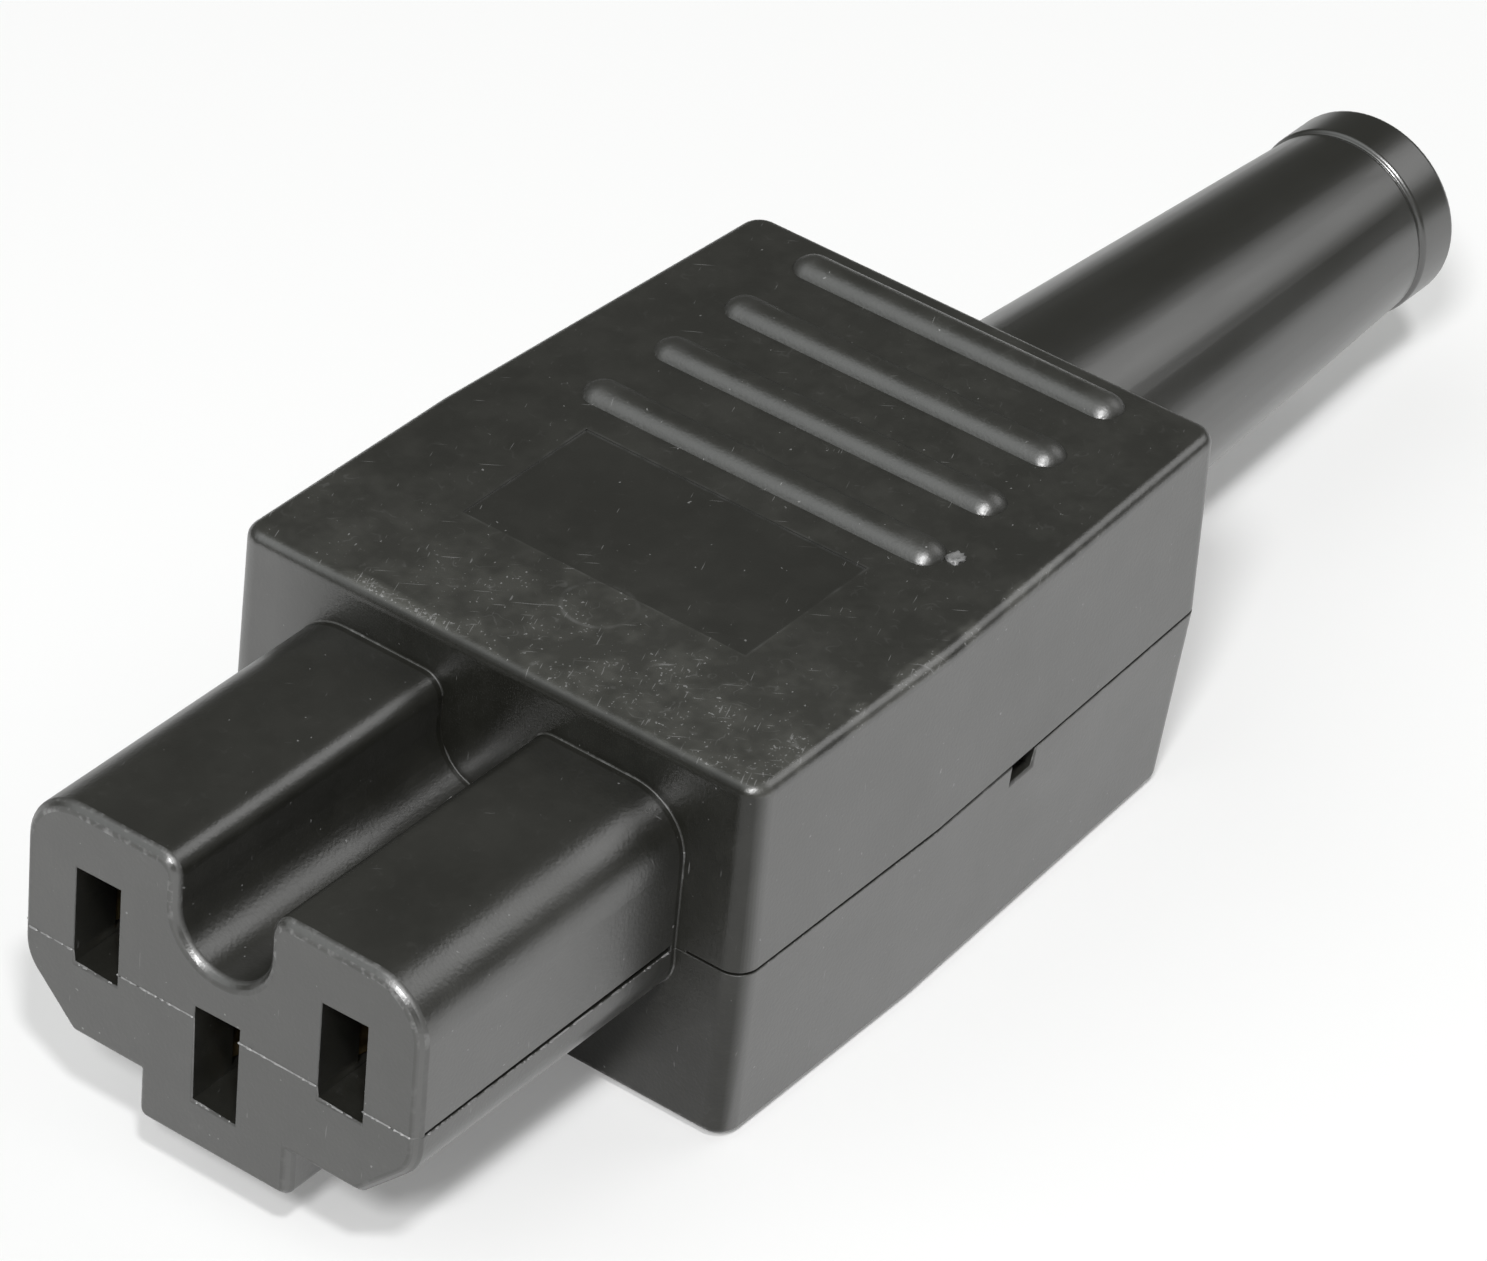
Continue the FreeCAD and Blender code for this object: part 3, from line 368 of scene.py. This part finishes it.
def worn_plastic(name, colours, roughness, marked=1.0, rubbed=0.0, index=GLOSSY_INDEX):
    """Moulded plastic with fine grain, uneven sheen, and scuffs, specks and scratches, and painted shade
    that dims its reflections in places.
    """
    material, tree, shader = new_material(name)
    spot = spot_on(tree)
    cloud = noise(tree, spot.place, scale=170.0, detail=2.0)
    on_top = level_top(tree, spot)
    off_panel = panel_distance(tree, spot)
    spread = product(tree, mark_density(tree, spot, on_top, off_panel), marked)
    marks = all_marks(tree, spot, on_top, off_panel, spread, marked)

    body = tint(tree, ramp(tree, cloud, 0.3, 0.7), *colours)
    body = tint(tree, product(tree, spread, 0.65), body, SCUFFED)
    if rubbed:
        body = tint(tree, product(tree, edge_wear(tree, spot), rubbed), body, grey(RUBBED_GREY))
    body = tint(tree, product(tree, marks, 0.55), body, grey(MARK_GREY))
    tree.links.new(body, shader.inputs["Base Color"])
    # Painted shade: the reflections are dimmed beside and above the nose, in the crease at its root, and a
    # little on its face.
    shaded_reflections = tint(tree, painted_reflection_shade(tree, spot), grey(1.0), grey(0.0))
    tree.links.new(shaded_reflections, shader.inputs["Specular Tint"])

    sheen = ramp(tree, cloud, 0.3, 0.7, roughness - 0.03, roughness + 0.03)
    rib_end = product(tree, ramp(tree, spot.height, TOP + 0.05 * MM, TOP + 0.15 * MM),
                      ramp(tree, calc(tree, "ABSOLUTE", spot.across), *RIB_ENDS))
    rougher = largest(tree, product(tree, marks, 0.15), product(tree, rib_end, 0.10))
    tree.links.new(calc(tree, "ADD", sheen, rougher), shader.inputs["Roughness"])
    shader.inputs["IOR"].default_value = index
    add_grain(tree, shader, 0.55, 0.02 * MM, noise(tree, spot.place, scale=5200.0, detail=1.0))
    return material


# The other materials
def soft_plastic(name):
    """The sleeve's smooth soft plastic, with faint drawn lines and a little dust."""
    material, tree, shader = new_material(name)
    place = shade(tree, "TexCoord").outputs["Object"]
    cloud = noise(tree, place, scale=160.0, detail=2.0)
    drawn = noise(tree, drawn_out(tree, place, (7.7 * MM, 0.9 * MM, 0.9 * MM)), detail=1.0)
    dots = ramp(tree, noise(tree, place, scale=4200.0, detail=1.0), 0.80, 0.85)
    body = tint(tree, ramp(tree, cloud, 0.3, 0.7), *SLEEVE_BLACK)
    body = tint(tree, product(tree, dots, 0.4), body, grey(DUST_GREY))
    tree.links.new(body, shader.inputs["Base Color"])
    tree.links.new(ramp(tree, drawn, 0.3, 0.7, 0.28, 0.32), shader.inputs["Roughness"])
    shader.inputs["IOR"].default_value = GLOSSY_INDEX
    add_grain(tree, shader, 0.12, 0.02 * MM, noise(tree, place, scale=7000.0, detail=1.0))
    return material


def rolled_metal(name, clean, tarnished, roughness, lengths):
    """Metal with fine draw lines and uneven tarnish."""
    material, tree, shader = new_material(name)
    place = shade(tree, "TexCoord").outputs["Object"]
    cloud = noise(tree, place, scale=420.0, detail=3.0, roughness=0.6)
    lines = noise(tree, drawn_out(tree, place, lengths), detail=2.0)
    colour = tint(tree, ramp(tree, cloud, 0.35, 0.7), clean, tarnished)
    tree.links.new(colour, shader.inputs["Base Color"])
    shader.inputs["Metallic"].default_value = 1.0
    sheen = ramp(tree, lines, 0.3, 0.7, roughness - 0.07, roughness + 0.1)
    tree.links.new(sheen, shader.inputs["Roughness"])
    add_grain(tree, shader, 0.2, 0.01 * MM, lines)
    return material


# Rounded copies of the solids
def outer_tree():
    """What encloses the connector, to tell its outer edges from those inside."""
    points, faces = [], []
    for name in ("upper_shell", "lower_shell", "cord_sleeve"):
        mesh = frame["nodes"][name].data
        start = len(points)
        points += [vertex.co.copy() for vertex in mesh.vertices]
        faces += [[start + index for index in polygon.vertices] for polygon in mesh.polygons]
    return BVHTree.FromPolygons(points, faces)


def middle(edge):
    return (edge.verts[0].co + edge.verts[1].co) / 2


def is_open(place, direction):
    """Whether a point on the surface sees out of the closed connector."""
    return SHELLS.ray_cast(place + direction * NEAR, direction)[0] is None


def is_outside(edge):
    """Whether the open side of an edge sees out of the closed connector."""
    normal = sum((face.normal for face in edge.link_faces), Vector()).normalized()
    return is_open(middle(edge), normal)


def shell_round(edge):
    """How wide an edge of a shell is rounded."""
    if edge.calc_face_angle(0.0) < SHARP_ANGLE or not is_outside(edge):
        return 0.0
    place = middle(edge)
    if abs(place.z - SPLIT) < NOSE_GAP[1] + NEAR:
        return SPLIT_ROUND
    if not edge.is_convex:
        return NOSE_ROOT if place.x < SHOULDER + MM else 0.0
    within_sides = abs(place.y) < HALF_WIDTH - TOP_MARGIN
    if place.z > TOP - 0.1 * MM and place.x > SHOULDER + MM and within_sides:
        return 0.0
    upright = abs(edge.verts[0].co.y - edge.verts[1].co.y) < NEAR
    beside_slot = min(abs(abs(place.y) - side) for side in SLOT_EDGES) < 2 * NEAR
    at_slot = place.x < NOSE_FACE + NEAR and upright and beside_slot
    return SLOT_ROUND if at_slot else EDGE_ROUND


def is_inside(face):
    """Whether a face of a shell lies in a contact's slot, and not in the open notch above."""
    place = face.calc_center_median()
    in_nose = NOSE_FACE + NEAR < place.x < SHOULDER and abs(place.y) < NOSE_HALF - MM
    in_notch = abs(place.y) < NOTCH_HALF and place.z > NOTCH_FLOOR
    return in_nose and not in_notch and not is_open(place, face.normal)


def ring_round(edge):
    return EDGE_ROUND if edge.calc_face_angle(0.0) > SHARP_ANGLE else 0.0


def metal_round(edge):
    return METAL_ROUND if edge.calc_face_angle(0.0) > SHARP_ANGLE and edge.is_convex else 0.0


def strip(name, outer, inner, low, highs):
    """A closed solid between two paths of equal count, from one level up to a level for each point."""
    work = bmesh.new()
    lows = [low] * len(outer)
    rows = [[work.verts.new((x, y, level)) for (x, y), level in zip(path, levels)]
            for path, levels in ((outer, lows), (inner, lows), (inner, highs), (outer, highs))]
    for step in range(len(outer) - 1):
        for row, following in zip(rows, rows[1:] + rows[:1]):
            work.faces.new((row[step], row[step + 1], following[step + 1], following[step]))
    for end in (0, len(outer) - 1):
        work.faces.new([row[end] for row in rows])
    bmesh.ops.recalc_face_normals(work, faces=work.faces)
    return finished_mesh(name, work)


def round_body(side, out):
    """A path round one side of the body, at a distance outside it, from beside the nose to the sleeve."""
    return ((SHOULDER - out, side * GAP_START), (SHOULDER - out, side * (HALF_WIDTH + out)),
            (KINK, side * (HALF_WIDTH + out)), (REAR + out, side * (REAR_HALF + out)),
            (REAR + out, side * SLEEVE_HALF))


def gap_solids():
    """What the parting line leaves open between the shells: along the nose, and round the body."""
    solids = []
    for side in (1, -1):
        outer = [(x, side * (NOSE_HALF + GAP_MARGIN)) for x in GAP_ENDS]
        inner = [(x, side * (NOSE_HALF - GAP_DEPTH)) for x in GAP_ENDS]
        highs = [SPLIT + high for high in NOSE_GAP]
        solids.append(strip("nose_gap", outer, inner, SPLIT - GAP_MARGIN, highs))
        outer = round_body(side, GAP_MARGIN)
        inner = round_body(side, -GAP_DEPTH)
        highs = [SPLIT + BODY_GAP] * len(outer)
        solids.append(strip("body_gap", outer, inner, SPLIT - NEAR, highs))
    return solids


def cut_away(mesh, solids):
    """A mesh less some solids."""
    piece = new_object("cut", mesh)
    tools = [new_object("tool", solid) for solid in solids]
    for tool in tools:
        cut = piece.modifiers.new("cut", "BOOLEAN")
        cut.operation = "DIFFERENCE"
        cut.solver = "EXACT"
        cut.object = tool
    result = bpy.data.meshes.new_from_object(piece.evaluated_get(bpy.context.evaluated_depsgraph_get()))
    for item in [piece] + tools:
        bpy.data.objects.remove(item)
    return result


def welded(node):
    """A node's mesh with its faces joined along their edges."""
    work = bmesh.new()
    work.from_mesh(frame["nodes"][node].data)
    bmesh.ops.remove_doubles(work, verts=work.verts, dist=WELD)
    return finished_mesh(node + "_welded", work)


def rounded_copy(node, name, mesh, widest, width_of, materials):
    """A piece that stands for a node, with its edges rounded by the width that is asked for each. The
    last material is for the rounded edges, and the middle one of three for the slots' walls."""
    work = bmesh.new()
    work.from_mesh(mesh)
    bmesh.ops.dissolve_limit(work, angle_limit=FLAT_ANGLE, verts=work.verts, edges=work.edges)
    work.normal_update()
    weights = work.edges.layers.float.new("bevel_weight_edge")
    for edge in work.edges:
        edge[weights] = width_of(edge) / widest
    for face in work.faces:
        face.smooth = True
        face.material_index = 1 if len(materials) > 2 and is_inside(face) else 0
    shape = finished_mesh(name, work)
    shape.set_sharp_from_angle(angle=SHARP_ANGLE)
    shape.materials.clear()
    for material in materials:
        shape.materials.append(material)
    piece = new_object(name, shape)
    bevel = piece.modifiers.new("rounded edges", "BEVEL")
    bevel.limit_method = "WEIGHT"
    bevel.width = widest
    bevel.segments = ROUND_STEPS
    bevel.use_clamp_overlap = False
    bevel.loop_slide = False
    bevel.material = len(materials) - 1
    piece.modifiers.new("even shading", "WEIGHTED_NORMAL").keep_sharp = True
    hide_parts(node)
    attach(piece, "root")
    return piece


# Moulding flash and the torn gate
def burr_run(work, start, stop, outward, reach, thickness, cover):
    """Ragged fins of flash along a line."""
    line = stop - start
    side = line.normalized().cross(outward) * thickness / 2
    count = max(2, int(line.length / FIN_PACE))
    fin = []
    for step in range(count + 1):
        point = start + line * (step / count)
        tall = chance.random() < cover and step < count
        if tall:
            fin.append((point, reach * (FIN_LEAST + (1 - FIN_LEAST) * chance.random() ** 2)))
        elif fin:
            add_fin(work, fin, line.normalized() * FIN_PACE, outward, side)
            fin = []


def add_fin(work, fin, stride, outward, side):
    """One fin: a closed three-sided tube that tapers to its ends."""
    tip_start = work.verts.new(fin[0][0] - stride * FIN_TIP)
    tip_stop = work.verts.new(fin[-1][0] + stride * FIN_TIP)
    rings = [[work.verts.new(point + side - outward * NEAR), work.verts.new(point - side - outward * NEAR),
              work.verts.new(point + outward * height)] for point, height in fin]
    for ring, following in zip(rings, rings[1:]):
        for corner in range(3):
            after = (corner + 1) % 3
            work.faces.new((ring[corner], ring[after], following[after], following[corner]))
    for corner in range(3):
        after = (corner + 1) % 3
        work.faces.new((rings[0][after], rings[0][corner], tip_start))
        work.faces.new((rings[-1][corner], rings[-1][after], tip_stop))


def flash():
    """Flash along the parting line, on the nose's face between the slots, on its sides and on the body's
    sides, and along the slots' lower ends."""
    work = bmesh.new()
    face = Vector((-1, 0, 0))
    outer, inner, earth = SLOT_EDGES
    for start, stop in ((FACE_STOP, outer), (inner, earth), (-earth, -inner), (-outer, -FACE_STOP)):
        burr_run(work, Vector((NOSE_FACE, start, SPLIT)), Vector((NOSE_FACE, stop, SPLIT)),
                 face, *FACE_FLASH)
    slots = ((outer, inner, SIDE_SILL), (earth, -earth, EARTH_SILL), (-inner, -outer, SIDE_SILL))
    for left, right, sill in slots:
        burr_run(work, Vector((NOSE_FACE, left - SILL_INSET, sill)),
                 Vector((NOSE_FACE, right + SILL_INSET, sill)), face, *SILL_FLASH)
    for side in (1, -1):
        out = Vector((0, side, 0))
        start, stop = (Vector((x, side * NOSE_HALF, SPLIT)) for x in NOSE_STOPS)
        burr_run(work, start, stop, out, *NOSE_FLASH)
        start, stop = (Vector((x, side * HALF_WIDTH, SPLIT)) for x in BODY_STOPS)
        burr_run(work, start, stop, out, *BODY_FLASH)
    bmesh.ops.recalc_face_normals(work, faces=work.faces)
    return finished_mesh("parting_flash", work)


def gate_scar(place):
    """A small torn crown of plastic where the mould's feed broke off."""
    work = bmesh.new()
    bmesh.ops.create_icosphere(work, subdivisions=3, radius=1.0)
    half_x, half_y, half_z = GATE_HALVES
    for vertex in work.verts:
        x, y, z = vertex.co
        ragged = 1.0 + GATE_RAGGED * chance.uniform(-1, 1)
        hollow = GATE_HOLLOW if x * x + y * y < GATE_BOWL else 1.0
        offset = Vector((half_x * x * ragged, half_y * y * ragged, half_z * z * ragged * hollow))
        vertex.co = place + offset * MM
    for face in work.faces:
        face.smooth = True
    return finished_mesh("gate_scar", work)


def add_trim(mesh, material):
    mesh.materials.append(material)
    piece = new_object(mesh.name, mesh)
    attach(piece, "root")


SHELLS = outer_tree()
shell_plastic = worn_plastic("shell_plastic", SHELL_BLACK, roughness=0.34)
shell_inside = worn_plastic("shell_inside", SHELL_BLACK, roughness=0.6, marked=0.2, index=DULL_INDEX)
shell_edge = worn_plastic("shell_edge", SHELL_BLACK, roughness=0.52, rubbed=0.30)
torn_plastic = worn_plastic("torn_plastic", (grey(0.10), grey(0.22)), roughness=0.55)
clamp_plastic = worn_plastic("clamp_plastic", (grey(0.022), grey(0.030)), roughness=0.48, marked=0.2)
sleeve_plastic = soft_plastic("sleeve_plastic")
contact_brass = rolled_metal("contact_brass", roughness=0.38, lengths=(4.0 * MM, 0.4 * MM, 0.4 * MM),
                             clean=(0.46, 0.35, 0.17, 1.0), tarnished=(0.25, 0.18, 0.09, 1.0))
terminal_brass = rolled_metal("terminal_brass", roughness=0.34, lengths=(0.4 * MM, 2.6 * MM, 2.6 * MM),
                              clean=(0.78, 0.58, 0.26, 1.0), tarnished=(0.50, 0.34, 0.14, 1.0))
screw_zinc = rolled_metal("screw_zinc", roughness=0.36, lengths=(0.4 * MM, 0.4 * MM, 2.0 * MM),
                          clean=(0.66, 0.66, 0.63, 1.0), tarnished=(0.42, 0.41, 0.38, 1.0))

shell_finish = (shell_plastic, shell_inside, shell_edge)
upper_housing = rounded_copy("upper_shell", "upper_housing", cut_away(welded("upper_shell"), gap_solids()),
                             EDGE_ROUND, shell_round, shell_finish)
lower_housing = rounded_copy("lower_shell", "lower_housing", welded("lower_shell"),
                             EDGE_ROUND, shell_round, shell_finish)
sleeve = rounded_copy("cord_sleeve", "sleeve", welded("cord_sleeve"),
                      EDGE_ROUND, ring_round, (sleeve_plastic,))
shell_screws = rounded_copy("housing_screws", "shell_screws", welded("housing_screws"),
                            METAL_ROUND, metal_round, (screw_zinc,))
add_trim(flash(), torn_plastic)
add_trim(gate_scar(GATE_PLACE), torn_plastic)

NODE_FINISH = {
    "line_contact": contact_brass, "neutral_contact": contact_brass, "earth_contact": contact_brass,
    "line_terminal": terminal_brass, "neutral_terminal": terminal_brass, "earth_terminal": terminal_brass,
    "terminal_screws": screw_zinc, "clamp_screws": screw_zinc, "housing_nuts": screw_zinc,
    "cord_clamp": clamp_plastic,
}
for node, finish in NODE_FINISH.items():
    frame["nodes"][node].data.materials.clear()
    frame["nodes"][node].data.materials.append(finish)


# Stage: floor, light and camera
def pale_floor():
    """A plain white sheet that shows a little paler than its light makes it, also in reflections."""
    mesh = bpy.data.meshes.new("floor")
    corners = [(x * FLOOR_HALF, y * FLOOR_HALF, -NEAR) for x, y in ((-1, -1), (1, -1), (1, 1), (-1, 1))]
    mesh.from_pydata(corners, [], [(0, 1, 2, 3)])
    material, tree, shader = new_material("floor_paper")
    place = shade(tree, "TexCoord").outputs["Object"]
    paper = tint(tree, noise(tree, place, scale=6.0, detail=2.0), grey(0.92), grey(0.94))
    tree.links.new(paper, shader.inputs["Base Color"])
    shader.inputs["Roughness"].default_value = 0.9
    path = shade(tree, "LightPath").outputs
    seen = largest(tree, path["Is Camera Ray"], path["Is Glossy Ray"], path["Is Transmission Ray"])
    mixed = shade(tree, "MixShader", Fac=product(tree, seen, FLOOR_PALER))
    white = shade(tree, "Emission", Color=grey(1.0), Strength=1.0)
    tree.links.new(shader.outputs[0], mixed.inputs[1])
    tree.links.new(white.outputs[0], mixed.inputs[2])
    tree.links.new(mixed.outputs[0], tree.nodes["Material Output"].inputs["Surface"])
    mesh.materials.append(material)
    new_object("floor", mesh)


def soft_lamp(name, direction, distance, width, power):
    """A round lamp that shines on the connector from a direction."""
    lamp = bpy.data.lights.new(name, "AREA")
    lamp.shape = "DISK"
    lamp.size = width
    lamp.energy = power
    holder = new_object(name, lamp)
    towards = Vector(direction).normalized()
    holder.location = towards * distance + Vector((0, 0, SPLIT))
    holder.rotation_mode = "QUATERNION"
    holder.rotation_quaternion = (-towards).to_track_quat("-Z", "Y")


def room_light():
    """Dim light from all round, with a bright patch high in front, on the line contact's side."""
    world = bpy.data.worlds.new("room")
    bpy.context.scene.world = world
    world.use_nodes = True
    tree = world.node_tree
    towards = shade(tree, "VectorMath")
    towards.operation = "DOT_PRODUCT"
    tree.links.new(shade(tree, "TexCoord").outputs["Generated"], towards.inputs[0])
    towards.inputs[1].default_value = BRIGHT_FROM.normalized()
    tone = tint(tree, ramp(tree, towards.outputs["Value"], *BRIGHT_EDGE), ROOM_DIM, ROOM_BRIGHT)
    tree.links.new(tone, tree.nodes["Background"].inputs["Color"])


def photo_camera():
    camera = new_object("camera", bpy.data.cameras.new("camera"))
    level = math.cos(CAMERA_ELEVATION)
    back = Vector((math.sin(CAMERA_AZIMUTH) * level, -math.cos(CAMERA_AZIMUTH) * level,
                   math.sin(CAMERA_ELEVATION)))
    camera.location = CAMERA_AIM + back * CAMERA_DISTANCE
    camera.rotation_mode = "QUATERNION"
    camera.rotation_quaternion = Quaternion(back, CAMERA_ROLL) @ (-back).to_track_quat("-Z", "Y")
    camera.data.lens = CAMERA_LENS
    camera.data.clip_start = CAMERA_NEAR
    bpy.context.scene.camera = camera


pale_floor()
soft_lamp("key", direction=(-0.66, -0.30, 0.69), distance=1.6, width=0.25, power=14.5)
soft_lamp("upper_key", direction=(-0.428, -0.371, 0.824), distance=1.6, width=0.14, power=11.0)
soft_lamp("window", direction=(0.675, -0.37, 0.64), distance=1.0, width=0.68, power=1.45)
room_light()
photo_camera()
bpy.context.scene.view_settings.view_transform = "Standard"
